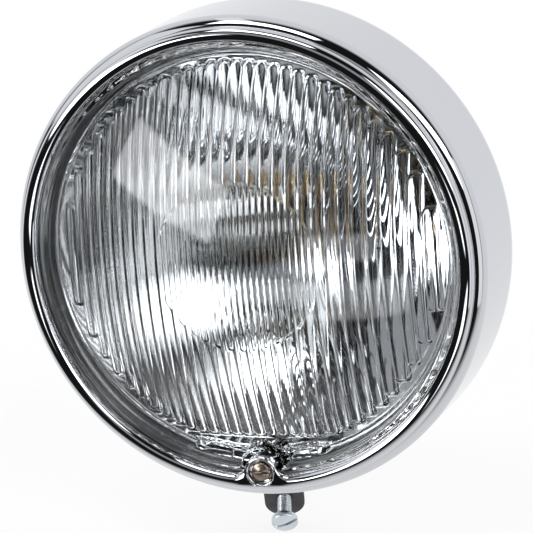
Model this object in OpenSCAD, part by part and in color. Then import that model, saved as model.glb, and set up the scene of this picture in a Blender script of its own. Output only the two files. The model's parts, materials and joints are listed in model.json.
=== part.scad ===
// Round motorcycle headlight: a chromed rim with a rolled bead holds a pressed, fluted lens, a reflector
// and a two-filament bulb, with the aiming screw in front and the clamp screw below.
// The lamp looks along -Y and +Z is up. The origin is on the lamp's axis, in the plane of the rim's rear edge.
// Inside axial() the first two directions lie across the lamp and the third, h, runs forward along its axis.

/* [Rim] */
// Outer radius of the rim where the front shoulder begins
rim_front_r = 85; // [80:0.5:92]
// How much wider the rim is at its rear edge
rim_flare = 0.8; // [0.2:0.1:1.5]
// Height of the straight barrel, from the rear edge to the shoulder
barrel_h = 30.5; // [29:0.5:34]
// Radius of the rounded shoulder
shoulder_r = 5.5; // [5.2:0.1:6]
// Thickness of the rim's sheet
rim_wall = 1; // [0.8:0.1:1.2]
// Radius of the rolled bead
bead_r = 2.7; // [2.6:0.1:2.8]
// How much nearer to the axis the bead's centre is than the shoulder's
bead_in = 0.4; // [0.1:0.1:0.6]
// How far the bead's centre stands ahead of the shoulder
bead_step = 0.5; // [0.3:0.1:0.8]
// Angle at which the bead's inner lip ends
lip_angle = 205; // [195:1:215]
// Radius of the lobe round the aiming screw
lobe_r = 5.9; // [5.7:0.1:6.2]
// Radius of the hollows where the lobe runs into the lip
lobe_fillet = 4; // [3.6:0.1:4.6]

/* [Lens] */
// How far the lens's centre stands ahead of its flange
lens_lead = 13.2; // [11:0.2:15]
// Thickness of the glass at the centre
lens_t = 4; // [3.6:0.1:4.6]
// Depth of the valley behind the flange's front face
valley_depth = 5.4; // [5:0.1:6]
// Width of the clear border between the rim's lip and the dome
border_w = 6; // [5:0.1:7]
// How far the lens flange reaches past the bead's centre
flange_hold = 1.3; // [0.9:0.1:1.5]
// Thickness of the lens flange
flange_t = 4; // [3.6:0.1:4.4]
// Width of the plain ring between the fluted field and the valley
field_margin = 1.9; // [1.4:0.1:4]
// Distance of the field's flat lower edge above the aiming screw
chord_rise = 11.2; // [9.8:0.1:14]
// Width of one flute
flute_pitch = 4.3; // [4:0.1:5]
// Radius of one flute's rounding
flute_r = 3.2; // [3:0.1:4]
// Radius of the finely fluted centre
fine_field_r = 29; // [25:0.5:32]

/* [Reflector] */
// Focal length of the reflector
focal = 27; // [26:0.5:28]
// How much smaller the bowl's mouth is than the rim's opening
bowl_in = 0.9; // [0.4:0.1:1.4]
// Length of the straight skirt ahead of the bowl
skirt_l = 7; // [6:0.5:8]
// Thickness of the reflector's sheet
sheet_t = 0.8; // [0.6:0.1:1]
// Radius of the hole for the bulb
neck_r = 19; // [18.5:0.5:20]
// Distance of the pilot bulb below the axis
pilot_drop = 38; // [36:1:42]

/* [Seal] */
// Thickness of the rubber between lens and reflector
seal_t = 1.5; // [1.2:0.1:2]
// Thickness of the rubber round the lens flange
seal_skirt_t = 1; // [0.8:0.1:1.1]

/* [Fixings] */
// Distance of the aiming screw's centre inside the edge of the rim's opening
aim_in = 1.7; // [1.4:0.1:2]
// Angle of the aiming screw round the axis, off straight down
aim_turn = 1.2; // [0:0.2:2]
// Radius of the aiming screw's shank
aim_shank_r = 2; // [1.8:0.1:2.1]
// Radius of the aiming screw's head
aim_head_r = 3.4; // [3.2:0.1:3.6]
// Radius of the clamp screw's shank
clamp_shank_r = 2.5; // [2.4:0.1:2.6]
// Radius of the clamp screw's head
clamp_head_r = 4.75; // [4.5:0.05:5]
// Length of the clamp screw under its head
clamp_screw_l = 24; // [20:1:26]
// Angle of the clamp screw below the horizontal
clamp_tilt = 32; // [28:1:34]
// Angle of the clamp screw towards the lamp's left side
clamp_turn = 17; // [10:1:20]
// Width of the clamp bracket
bracket_w = 14.4; // [13:0.2:16]
// Thickness of the clamp bracket
bracket_t = 2.2; // [2:0.1:2.5]
// Thickness of the spring clips
clip_t = 0.8; // [0.6:0.1:1]
// Width of the spring clips
clip_w = 10; // [8:0.5:12]

/* [Hidden] */
$fn = 96;

// Clearances
gap = 0.1;
far = 200;

// Rim
shoulder_c = [rim_front_r - shoulder_r, barrel_h];
rim_rear_r = rim_front_r + rim_flare;
bead_mid_r = shoulder_c[0] - bead_in;
bead_c = [bead_mid_r, barrel_h + shoulder_r + bead_step];
lip_r = bead_mid_r - bead_r;
aim_drop = lip_r - aim_in;
lip_h = bead_c[1] + bead_r * sin(lip_angle);
rim_front_h = bead_c[1] + bead_r;
lobe_top_h = rim_front_h - 0.4;
recess_r = aim_head_r + 1.1;
recess_floor_h = lobe_top_h - 1.8;
cup_wall = 0.8;
aim_hole_r = aim_shank_r + 0.2;

// Lens
valley_r = lip_r - border_w;
flange_r = bead_mid_r + flange_hold;
flute_field_r = valley_r - field_margin;
flute_chord = aim_drop - chord_rise;
flange_front_h = lip_h - gap;
flange_back_h = flange_front_h - flange_t;
apex_h = flange_front_h + lens_lead;
valley_h = flange_front_h - valley_depth;
rib_h = flute_r - sqrt(flute_r * flute_r - flute_pitch * flute_pitch / 4);
dome_out_r = sphere_r(valley_r, apex_h - valley_h);
inner_apex_h = apex_h - lens_t;
inner_edge_h = valley_h - lens_t;
dome_in_r = sphere_r(flute_field_r, inner_apex_h - inner_edge_h);
dome_in_c = inner_apex_h - dome_in_r;
field_depth = 0.3;
flute_steps = 2;
flute_turn = 70;
flute_step_in = 0.3;
notch_edge = 1.2;
glass_edge = 1.5;

// Reflector
bowl_r = lip_r - bowl_in;
seat_h = flange_back_h - seal_t - gap;
bowl_h = seat_h - skirt_l;
vertex_h = bowl_h - bowl_r * bowl_r / (4 * focal);
focus_h = vertex_h + focal;
skirt_r = bowl_r + 0.7;
reflector_r = flange_r + seal_skirt_t + gap;
neck_back_h = vertex_h - 0.4;
neck_flange_r = neck_r + 5.8;
dent_r = 4.9;
pilot_c = [0, -pilot_drop];
pilot_hole_r = 6.6;
pilot_boss_h = vertex_h + pilot_drop * pilot_drop / (4 * focal) - 8.6;

// Inner ring
ring_back_h = 8;
ring_front_h = 20;
ring_t = 0.85;
ring_lip_r = rim_front_r - 6;
hook_leg_r = rim_front_r - 1.7;
hook_t = 1.8;

// Aiming gear
lug_h = barrel_h - 16;
lug_t = 1.2;
lug_half_w = 8.2;
aim_nut_w = 7;
aim_nut_t = 3.2;
aim_tip_h = lug_h - aim_nut_t - 2.3;

// Clamp
hole_at = [-2, -6.4, -rim_front_r - 10.9];
clamp_gap = 9;
clamp_head_t = 3;
clamp_nut_w = 8;
clamp_nut_t = 3.2;
tongue_l = 17;
tongue_end = 2.3;
slot_h = 13.3;
leg_z = 3.1 - rim_front_r;

// Bulb
ball_r = 18;
ball_h = focus_h - 2.2;
dip_rise = 1.6;
dip_lead = 7;
stem_r = 11;
glass_t = 0.9;
cap_r = 12.4;
bulb_seat_h = neck_back_h - gap;
bulb_flange_t = 1.3;
bulb_flange_r = neck_r + 3.5;
cap_front_h = bulb_seat_h + 5;
cap_back_h = bulb_seat_h - 6;
pip_back_h = cap_back_h - 5;
holder_flange_r = neck_flange_r - gap;
holder_front_h = bulb_seat_h - bulb_flange_t - 0.5;
holder_step_h = holder_front_h - 6;
holder_back_h = pip_back_h - 12;
holder_r = 20.5;
terminal_w = 6.3;
terminal_t = 0.8;
clip_angles = [30, 62, 118, 150, 212, 328];
contact_angles = [90, 210, 330];

// Radius of the sphere through a circle of radius r that lies rise below its top
function sphere_r(r, rise) = (r * r + rise * rise) / (2 * rise);
// Points of an arc
function arc(c, r, a0, a1, n) = [for (i = [0:n]) let (a = a0 + (a1 - a0) * i / n) c + r * [cos(a), sin(a)]];
// The outer crossing of two circles, the second one ahead of the first
function crossing(c1, r1, c2, r2) =
    let (d = norm(c2 - c1), u = (c2 - c1) / d, a = (r1 * r1 - r2 * r2 + d * d) / (2 * d))
    c1 + a * u + sqrt(r1 * r1 - a * a) * [u[1], -u[0]];
function angle_of(v) = atan2(v[1], v[0]);
function reverse(list) = [for (i = [len(list) - 1:-1:0]) list[i]];
function unit(v) = v / norm(v);
// One side of a strip that follows a path, d to its left
function left_of(a, b) = let (u = unit(b - a)) [-u[1], u[0]];
function side(path, d) = [for (i = [0:len(path) - 1])
    let (n0 = i == 0 ? left_of(path[0], path[1]) : left_of(path[i - 1], path[i]),
        n1 = i == len(path) - 1 ? n0 : left_of(path[i], path[i + 1]), m = unit(n0 + n1))
    path[i] + m * d / (m * n0)];
// Inner radius of the rim's barrel at a height
function barrel_in(h) = rim_rear_r + (rim_front_r - rim_rear_r) * h / barrel_h - rim_wall;
// Height of the bowl's mirror surface at a radius
function mirror_h(r) = vertex_h + r * r / (4 * focal);

// Outline of the lobe round the aiming screw, drawn in by inset and closed at outer_r
function lobe_outline(inset, outer_r) =
    let (lip = lip_r + inset, disc = lobe_r - inset, f = lobe_fillet + inset,
        a = lip - f, b = disc + f, fy = (b * b - a * a - aim_drop * aim_drop) / (2 * aim_drop),
        fx = sqrt(a * a - fy * fy), out_a = angle_of([fx, fy]), in_a = angle_of([fx, fy + aim_drop]))
    concat(arc([fx, fy], f, out_a, in_a - 180, 8),
        arc([0, -aim_drop], disc, in_a, 180 - in_a, 16),
        arc([-fx, fy], f, -in_a, -180 - out_a, 8),
        arc([0, 0], outer_r, -180 - out_a, out_a, 8));

module axial() { rotate([90, 0, 0]) children(); }
module strip(path, t) { polygon(concat(side(path, t / 2), reverse(side(path, -t / 2)))); }
module disc(r, h0, h1) { translate([0, 0, h0]) cylinder(r = r, h = h1 - h0); }
module tube(r_out, r_in, h0, h1) {
    difference() {
        disc(r_out, h0, h1);
        disc(r_in, h0 - 1, h1 + 1);
    }
}
module aim_place() { rotate(aim_turn) translate([0, -aim_drop, 0]) children(); }
module lobe(inset, outer_r) { rotate(aim_turn) polygon(lobe_outline(inset, outer_r)); }
// A strip whose path lies in a plane through the axis, at an angle round it
module radial_strip(path, t, w, angle) {
    rotate(angle) rotate([90, 0, 0]) translate([0, 0, -w / 2]) linear_extrude(w) strip(path, t);
}
// Frame of the clamp screw: its third direction points out of the head
module clamp_frame() {
    translate(hole_at) rotate(clamp_turn) rotate([90 + clamp_tilt, 0, 0]) children();
}

module rim_profile() {
    crease = crossing(shoulder_c, shoulder_r, bead_c, bead_r);
    polygon(concat([[rim_rear_r, 0]],
        arc(shoulder_c, shoulder_r, 0, angle_of(crease - shoulder_c), 10),
        arc(bead_c, bead_r, angle_of(crease - bead_c), lip_angle, 20),
        arc(bead_c, bead_r - rim_wall, lip_angle, -34, 12),
        arc(shoulder_c, shoulder_r - rim_wall, 61, 0, 8),
        [[rim_rear_r - rim_wall, 0]]));
}
module rim() {
    color([0.78, 0.79, 0.82]) axial() difference() {
        union() {
            rotate_extrude() rim_profile();
            difference() {
                translate([0, 0, lip_h]) linear_extrude(lobe_top_h - lip_h) lobe(0, bead_mid_r);
                translate([0, 0, lip_h - 1]) linear_extrude(lobe_top_h - rim_wall - lip_h + 1)
                    lobe(rim_wall, bead_mid_r + bead_r);
            }
            aim_place() disc(recess_r + cup_wall, recess_floor_h - rim_wall, lobe_top_h);
        }
        aim_place() disc(recess_r, recess_floor_h, far);
        aim_place() disc(aim_hole_r, 0, far);
        bracket_slot(0.8);
    }
}
// The opening low in the barrel through which the clamp bracket hangs out, longer to the rear by a length
module bracket_slot(rearward) {
    translate([-bracket_w / 2 - 1.2, -rim_rear_r - 2, slot_h - 4.4 - rearward])
        cube([bracket_w + 2.4, 6, 7.4 + rearward]);
}

// Whole flutes that fit across a field of radius r, always an odd number
function flutes_in(r) = 2 * floor(r / flute_pitch - 0.5) + 1;
// Outline of a field of flutes, each of which ends in a step just short of its outer edge
function field_outline(r, low) =
    let (n = (flutes_in(r) - 1) / 2,
        top = [for (i = [-n:n]) let (y = sqrt(r * r - pow((abs(i) + 0.5) * flute_pitch, 2)))
            for (s = [-0.5, 0.5]) let (x = (i + s) * flute_pitch) [x - sign(x) * flute_step_in, y]])
    corners(distinct(concat(top, reverse([for (p = top) [p[0], -min(p[1], low)]]))));
function next(list, i) = list[(i + 1) % len(list)];
function distinct(list) = [for (i = [0:len(list) - 1]) if (norm(next(list, i) - list[i]) > 0.01) list[i]];
function corners(list) = [for (i = [0:len(list) - 1]) let (before = list[(i + len(list) - 1) % len(list)])
    if (abs(cross(list[i] - before, next(list, i) - list[i])) > 0.001) list[i]];
// A row of flutes as a ring about a cross axis through the dome's centre, so that each runs straight up the lens
module flute_core(pitch, r, count) {
    edge = sqrt(r * r - pitch * pitch / 4);
    xs = [for (i = [0:count * flute_steps]) (i / flute_steps - count / 2) * pitch];
    translate([0, 0, dome_in_c]) rotate([0, 90, 0]) rotate(180 - flute_turn / 2) rotate_extrude(angle = flute_turn)
        polygon(concat([[0, xs[0]]],
        [for (i = [0:len(xs) - 1]) let (u = (i % flute_steps / flute_steps - 0.5) * pitch)
            [sqrt(dome_in_r * dome_in_r - xs[i] * xs[i]) - sqrt(r * r - u * u) + edge, xs[i]]],
        [[0, -xs[0]]]));
}
module lens() {
    block_h = inner_edge_h - rib_h - field_depth;
    color([0.86, 0.9, 0.92, 0.45]) axial() difference() {
        union() {
            intersection() {
                disc(valley_r, block_h, far);
                translate([0, 0, apex_h - dome_out_r]) sphere(r = dome_out_r);
            }
            rotate_extrude() polygon(concat([[valley_r - 4, block_h], [valley_r - 4, valley_h - 0.1]],
                [[valley_r, valley_h]],
                arc([valley_r + 1.6, valley_h + 1.4], 2, 225, 320, 5),
                [[lip_r - glass_edge - 1.1, flange_front_h - 0.9]],
                arc([lip_r - glass_edge, flange_front_h - 0.9], 0.9, 150, 90, 4),
                [[flange_r, flange_front_h], [flange_r, flange_back_h], [lip_r + 0.4, flange_back_h],
                    [valley_r + 3.2, block_h]]));
            // The glass stands up round the lobe as it does behind the lip
            intersection() {
                translate([0, 0, valley_h - 1.5]) linear_extrude(flange_front_h - valley_h + 1.5)
                    lobe(-glass_edge, lip_r + 1);
                disc(flange_r, 0, far);
            }
            // A thicker floor between the fluted field and the lobe, with a pocket at each side
            difference() {
                translate([0, 0, valley_h - 3]) linear_extrude(4.6)
                    polygon(concat([[-26, -flute_chord - 1.4]], arc([0, 0], valley_r + 3.4, -111, -69, 10),
                        [[26, -flute_chord - 1.4]]));
                translate([0, 0, valley_h - 0.4]) linear_extrude(4) rotate(aim_turn) for (s = [-1, 1])
                    scale([s, 1]) translate([0, -aim_drop]) polygon([[9.2, 8.1], [19.5, 8.5], [21, 5.1], [10.8, 2.7]]);
            }
        }
        translate([0, 0, -far / 2]) linear_extrude(far) lobe(notch_edge, flange_r + 2);
        aim_place() disc(dent_r + sheet_t + 0.3, 0, seat_h + 0.3);
        intersection() {
            flute_core(flute_pitch, flute_r, flutes_in(flute_field_r) + 2);
            linear_extrude(far) difference() {
                polygon(field_outline(flute_field_r, flute_chord));
                polygon(field_outline(fine_field_r, far));
            }
        }
        intersection() {
            flute_core(flute_pitch / 2, flute_r / 2, 2 * flutes_in(fine_field_r) + 2);
            linear_extrude(far) polygon(field_outline(fine_field_r, far));
        }
    }
}

module lens_seal() {
    color([0.09, 0.09, 0.1]) axial() difference() {
        rotate_extrude() polygon([[lip_r + 0.7, seat_h + gap / 2], [reflector_r - gap, seat_h + gap / 2],
            [reflector_r - gap, flange_back_h + 2.4], [flange_r + gap / 2, flange_back_h + 2.4],
            [flange_r + gap / 2, flange_back_h - gap / 2], [lip_r + 0.7, flange_back_h - gap / 2]]);
        linear_extrude(far) lobe(notch_edge, flange_r + 4);
    }
}

function mirror_points(inset) = [for (i = [0:24])
    let (r = bowl_r + (neck_r + inset - bowl_r) * i / 24) [r, mirror_h(r) - inset * 1.2]];
module bowl_space() {
    rotate_extrude() polygon(concat([[0, seat_h], [skirt_r, seat_h], [skirt_r, bowl_h]],
        mirror_points(0), [[0, mirror_h(neck_r)]]));
}
module reflector() {
    color([0.8, 0.81, 0.83]) axial() difference() {
        union() {
            rotate_extrude() polygon(concat(
                [[reflector_r, seat_h], [skirt_r, seat_h], [skirt_r, bowl_h]],
                mirror_points(0),
                [[neck_r, neck_back_h], [neck_flange_r, neck_back_h], [neck_flange_r, neck_back_h + sheet_t],
                    [neck_r + sheet_t, neck_back_h + sheet_t]],
                reverse(mirror_points(sheet_t)),
                [[skirt_r + sheet_t, bowl_h - sheet_t], [skirt_r + sheet_t, seat_h - sheet_t],
                    [reflector_r, seat_h - sheet_t]]));
            // A dent that lets the aiming screw pass outside the bowl
            intersection() {
                aim_place() disc(dent_r + sheet_t, bowl_h - 12, seat_h);
                bowl_space();
            }
            difference() {
                translate(pilot_c) disc(pilot_hole_r + sheet_t, pilot_boss_h, mirror_h(pilot_drop + 9));
                bowl_space();
            }
        }
        aim_place() disc(dent_r, bowl_h - 13, far);
        rotate(aim_turn) translate([-dent_r, -reflector_r - gap, bowl_h - 13])
            cube([2 * dent_r, reflector_r + gap - aim_drop, far]);
        translate(pilot_c) disc(pilot_hole_r, pilot_boss_h - 1, far);
    }
}

module inner_ring() {
    color([0.5, 0.51, 0.52]) axial() difference() {
        rotate_extrude() polygon([[ring_lip_r, ring_back_h], [barrel_in(ring_back_h) - gap, ring_back_h],
            [barrel_in(ring_front_h) - gap, ring_front_h],
            [barrel_in(ring_front_h) - gap - ring_t, ring_front_h],
            [barrel_in(ring_back_h) - gap - ring_t, ring_back_h + ring_t],
            [ring_lip_r, ring_back_h + ring_t]]);
        bracket_slot(0);
        rivet_places() disc(1.35, 0, far);
    }
}
module rivet_places() { for (x = [-4.5, 4.5]) translate([x, hook_leg_r - 2.6, 0]) children(); }
module top_hook() {
    color([0.45, 0.46, 0.47]) axial() difference() {
        radial_strip([[ring_lip_r + 0.2, ring_back_h - gap / 2 - hook_t / 2], [hook_leg_r, ring_back_h - gap / 2 - hook_t / 2],
            [hook_leg_r, -6], [hook_leg_r - 2.2, -8]], hook_t, 16, 90);
        rivet_places() disc(1.35, 0, far);
    }
}
module hook_rivets() {
    color([0.6, 0.61, 0.62]) axial() rivet_places() {
        disc(1.3, ring_back_h - hook_t - 0.7, ring_back_h + ring_t + 0.7);
        disc(2.2, ring_back_h + ring_t, ring_back_h + ring_t + 0.8);
        disc(1.6, ring_back_h - hook_t - gap - 0.6, ring_back_h - hook_t - gap / 2);
    }
}

module clamp_bracket() {
    leg_h0 = ring_back_h + ring_t + gap;
    color([0.2, 0.2, 0.21]) difference() {
        union() {
            intersection() {
                clamp_frame() {
                    translate([0, -tongue_end, 0]) disc(bracket_w / 2, -bracket_t, 0);
                    translate([-bracket_w / 2, -tongue_end, -bracket_t])
                        cube([bracket_w, tongue_l + tongue_end, bracket_t]);
                }
                translate([-far / 2, -far / 2, leg_z + bracket_t / 2 - far]) cube(far);
            }
            axial() translate([-bracket_w / 2, leg_z - bracket_t / 2, leg_h0])
                cube([bracket_w, bracket_t, slot_h + 3 - leg_h0]);
        }
        clamp_frame() disc(clamp_shank_r + 0.2, -far / 4, far / 4);
    }
}
module clamp_nut() {
    color([0.62, 0.64, 0.66]) clamp_frame() difference() {
        translate([-clamp_nut_w / 2, -clamp_nut_w / 2, -bracket_t - gap / 2 - clamp_nut_t])
            cube([clamp_nut_w, clamp_nut_w, clamp_nut_t]);
        disc(clamp_shank_r + 0.05, -far / 4, 0);
    }
}
module clamp_screw() {
    head_h = clamp_gap;
    color([0.74, 0.78, 0.8]) clamp_frame() difference() {
        union() {
            disc(clamp_shank_r, head_h - clamp_screw_l, head_h + 0.5);
            translate([0, 0, head_h]) rotate_extrude() polygon(concat([[0, 0], [clamp_head_r, 0]],
                arc([clamp_head_r - 1.1, clamp_head_t - 1.1], 1.1, 0, 80, 5),
                [[0, clamp_head_t + 0.1]]));
        }
        rotate(24) translate([-clamp_head_r - 1, -0.6, head_h + clamp_head_t - 1.2])
            cube([2 * clamp_head_r + 2, 1.2, 3]);
    }
}

module aim_screw() {
    seat = recess_floor_h + gap / 2;
    color([0.5, 0.43, 0.36]) axial() aim_place() difference() {
        union() {
            disc(aim_shank_r, aim_tip_h, seat + 0.5);
            translate([0, 0, seat]) rotate_extrude() polygon(concat([[0, 0], [aim_head_r, 0]],
                arc([aim_head_r - 0.8, 0.9], 0.8, 0, 70, 4), [[0, 2.1]]));
        }
        translate([-aim_head_r - 1, -0.45, seat + 0.9]) cube([2 * aim_head_r + 2, 0.9, 3]);
    }
}
module aim_nut() {
    color([0.62, 0.64, 0.66]) axial() aim_place() difference() {
        translate([-aim_nut_w / 2, -aim_nut_w / 2, lug_h - gap / 2 - aim_nut_t])
            cube([aim_nut_w, aim_nut_w, aim_nut_t]);
        disc(aim_shank_r + 0.05, 0, lug_h + 1);
    }
}
// A strap behind the reflector's flange that carries the aiming nut
module aim_lug() {
    top = -aim_drop + 2.9;
    low = -skirt_r - sheet_t - 3.4;
    foot_h = seat_h - sheet_t - gap / 2;
    color([0.5, 0.51, 0.52]) axial() rotate(aim_turn) difference() {
        union() {
            translate([-lug_half_w, low, lug_h]) cube([2 * lug_half_w, top - low, lug_t]);
            for (s = [-1, 1]) scale([s, 1, 1]) {
                translate([lug_half_w - lug_t, low, lug_h]) cube([lug_t, 2.4, foot_h - lug_h]);
                translate([lug_half_w - lug_t, low, foot_h - 1]) cube([5.5, 2.2, 1]);
            }
        }
        translate([0, -aim_drop, 0]) disc(aim_hole_r, 0, far);
    }
}
// A coil spring, swept as rings of points round a helix
module aim_spring() {
    wire_r = 0.45;
    coil_r = aim_shank_r + 0.9;
    h0 = lug_h + lug_t + wire_r + gap;
    h1 = recess_floor_h - rim_wall - wire_r - gap;
    turns = 8;
    per_turn = 12;
    n = turns * per_turn;
    sides = 6;
    points = [for (i = [0:n]) for (k = [0:sides - 1])
        let (a = 360 * i / per_turn, b = 360 * k / sides, r = coil_r + wire_r * cos(b))
        [r * cos(a), r * sin(a), h0 + (h1 - h0) * i / n + wire_r * sin(b)]];
    walls = [for (i = [0:n - 1]) for (k = [0:sides - 1]) let (k2 = (k + 1) % sides)
        [i * sides + k, (i + 1) * sides + k, (i + 1) * sides + k2, i * sides + k2]];
    ends = [[for (k = [0:sides - 1]) k], [for (k = [sides - 1:-1:0]) n * sides + k]];
    color([0.45, 0.46, 0.47]) axial() aim_place() polyhedron(points, concat(walls, ends));
}

// A leaf spring that hooks on the inner ring and presses the reflector's flange forward
module clip(angle) {
    grip = ring_back_h + ring_t + gap + clip_t / 2;
    under = ring_back_h - gap - clip_t / 2;
    push_h = seat_h - sheet_t - gap - clip_t / 2;
    color([0.6, 0.62, 0.64]) axial() radial_strip([[ring_lip_r + 3, under], [ring_lip_r - gap - clip_t / 2, under],
        [ring_lip_r - gap - clip_t / 2, grip], [ring_lip_r + 2.8, grip + 0.6], [ring_lip_r + 3.2, grip + 3],
        [skirt_r + 3.4, push_h - 6], [skirt_r + 2.6, push_h], [reflector_r - 0.3, push_h]], clip_t, clip_w, angle);
}

module neck_collar() {
    back = holder_step_h - gap - 1;
    color([0.55, 0.56, 0.58]) axial() {
        tube(neck_flange_r + 1, neck_flange_r + 0.2, back, neck_back_h + sheet_t + 1);
        tube(neck_flange_r + 1, neck_r + sheet_t + 2.4, neck_back_h + sheet_t + gap, neck_back_h + sheet_t + 1);
        for (a = contact_angles) rotate(a - 15) translate([0, 0, back])
            rotate_extrude(angle = 30) translate([holder_r + 1.2, 0])
                square([neck_flange_r + 0.6 - holder_r - 1.2, 1]);
    }
}

module bulb_glass() {
    turn = asin(stem_r / ball_r);
    inner = ball_r - glass_t;
    turn_in = asin((stem_r - glass_t) / inner);
    color([0.95, 0.97, 1, 0.35]) axial() rotate_extrude() polygon(concat(
        arc([0, ball_h], ball_r, 90, turn - 90, 28), [[stem_r, cap_front_h - 4]],
        [[stem_r - glass_t, cap_front_h - 4]], arc([0, ball_h], inner, turn_in - 90, 90, 28)));
}
module bulb_cap() {
    color([0.72, 0.56, 0.3]) axial() tube(cap_r, stem_r + gap, cap_back_h, cap_front_h);
}
module bulb_flange() {
    color([0.66, 0.55, 0.36]) axial()
        tube(bulb_flange_r, cap_r + gap / 2, bulb_seat_h - bulb_flange_t, bulb_seat_h);
}
module bulb_insulator() {
    color([0.12, 0.1, 0.1]) axial() {
        disc(cap_r, cap_back_h - 2, cap_back_h - gap / 2);
        disc(stem_r - 0.2, cap_back_h - 0.2, cap_front_h - 7);
    }
}
module bulb_contacts() {
    color([0.75, 0.75, 0.72]) axial() for (a = contact_angles) rotate(a)
        translate([6.5, 0, 0]) disc(1.6, pip_back_h, cap_back_h - 2 - gap / 2);
}
module filament(x0, h, l) { translate([x0 - l / 2, 0, h]) rotate([0, 90, 0]) cylinder(r = 0.7, h = l, $fn = 24); }
module main_filament() { color([0.75, 0.72, 0.7]) axial() filament(0, focus_h, 6); }
module dip_filament() { color([0.75, 0.72, 0.7]) axial() translate([0, dip_rise, 0]) filament(0, focus_h + dip_lead, 5.5); }
module dip_shield() {
    color([0.7, 0.71, 0.72]) axial() translate([0, dip_rise / 2, focus_h + dip_lead]) rotate([0, 90, 0]) difference() {
        translate([0, 0, -4.4]) cylinder(r = 3.6, h = 8.8);
        translate([0, 0, -3.9]) cylinder(r = 3.1, h = 7.8);
        translate([-10, 0, -10]) cube(20);
    }
}
module filament_supports() {
    base = cap_front_h - 7 + gap;
    color([0.6, 0.6, 0.6]) axial() {
        translate([3.5, 0, 0]) disc(0.4, base, focus_h);
        translate([-3.5, 0, 0]) disc(0.4, base, focus_h);
        translate([0, -3.6, 0]) disc(0.4, base, focus_h + dip_lead);
        for (s = [-1, 1]) translate([3.2 * s, dip_rise, 0]) disc(0.4, base, focus_h + dip_lead + 0.4);
        disc(4.2, base, base + 8);
    }
}

module bulb_holder() {
    color([0.08, 0.08, 0.08]) axial() difference() {
        union() {
            disc(holder_flange_r, holder_step_h, holder_front_h);
            disc(holder_r, holder_back_h, holder_step_h + 1);
        }
        disc(holder_r - 3, holder_back_h + 4, far);
        for (a = contact_angles) rotate(a)
            translate([8 - terminal_t / 2 - gap / 2, -terminal_w / 2 - gap / 2, -far])
                cube([terminal_t + gap, terminal_w + gap, far]);
    }
}
// A brass blade: a spade terminal outside the holder and a contact spring inside it
module contact(angle) {
    back = holder_back_h - 8;
    color([0.78, 0.6, 0.3]) axial() rotate(angle) {
        translate([8 - terminal_t / 2, -terminal_w / 2, back])
            cube([terminal_t, terminal_w, holder_back_h + 5 - back]);
        radial_strip([[8, holder_back_h + 4.5], [10.4, holder_back_h + 8], [9, pip_back_h - 0.4 - gap],
            [5, pip_back_h - 0.4 - gap]], terminal_t, 4, 0);
    }
}

module pilot_socket() {
    color([0.6, 0.61, 0.63]) axial() translate(pilot_c) difference() {
        union() {
            disc(pilot_hole_r - gap, pilot_boss_h - 1, mirror_h(pilot_drop) - 1);
            disc(pilot_hole_r + 1.6, pilot_boss_h - 1.4, pilot_boss_h - gap / 2);
        }
        disc(4.7, pilot_boss_h, far);
        disc(1.3, -far, 0);
    }
}
module pilot_bulb_cap() {
    color([0.74, 0.6, 0.34]) axial() translate(pilot_c)
        tube(4.6, 3.7, pilot_boss_h + gap, mirror_h(pilot_drop) + 0.4);
}
module pilot_bulb_glass() {
    top = mirror_h(pilot_drop) + 9;
    color([0.95, 0.97, 1, 0.35]) axial() translate(pilot_c) rotate_extrude() polygon(concat(
        arc([0, top - 3.6], 3.6, 90, 0, 8), [[3.6, pilot_boss_h + 6], [3, pilot_boss_h + 6]],
        arc([0, top - 3.6], 3, 0, 90, 8)));
}
module pilot_terminal() {
    color([0.78, 0.6, 0.3]) axial() translate(pilot_c) {
        disc(1.2, pilot_boss_h - 4, pilot_boss_h + 2);
        translate([-1.6, -0.4, pilot_boss_h - 9]) cube([3.2, 0.8, 6]);
    }
}

rim();
inner_ring();
top_hook();
hook_rivets();
clamp_bracket();
clamp_nut();
clamp_screw();
aim_screw();
aim_spring();
aim_lug();
aim_nut();
lens();
lens_seal();
reflector();
clip(clip_angles[0]);  // clip_1
clip(clip_angles[1]);  // clip_2
clip(clip_angles[2]);  // clip_3
clip(clip_angles[3]);  // clip_4
clip(clip_angles[4]);  // clip_5
clip(clip_angles[5]);  // clip_6
neck_collar();
bulb_glass();
bulb_cap();
bulb_flange();
bulb_insulator();
bulb_contacts();
main_filament();
dip_filament();
dip_shield();
filament_supports();
bulb_holder();
contact(contact_angles[0]);  // contact_1
contact(contact_angles[1]);  // contact_2
contact(contact_angles[2]);  // contact_3
pilot_socket();
pilot_bulb_glass();
pilot_bulb_cap();
pilot_terminal();
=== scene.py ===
import json
import math

import bmesh
import bpy
import numpy as np
from mathutils import Matrix, Vector

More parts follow.
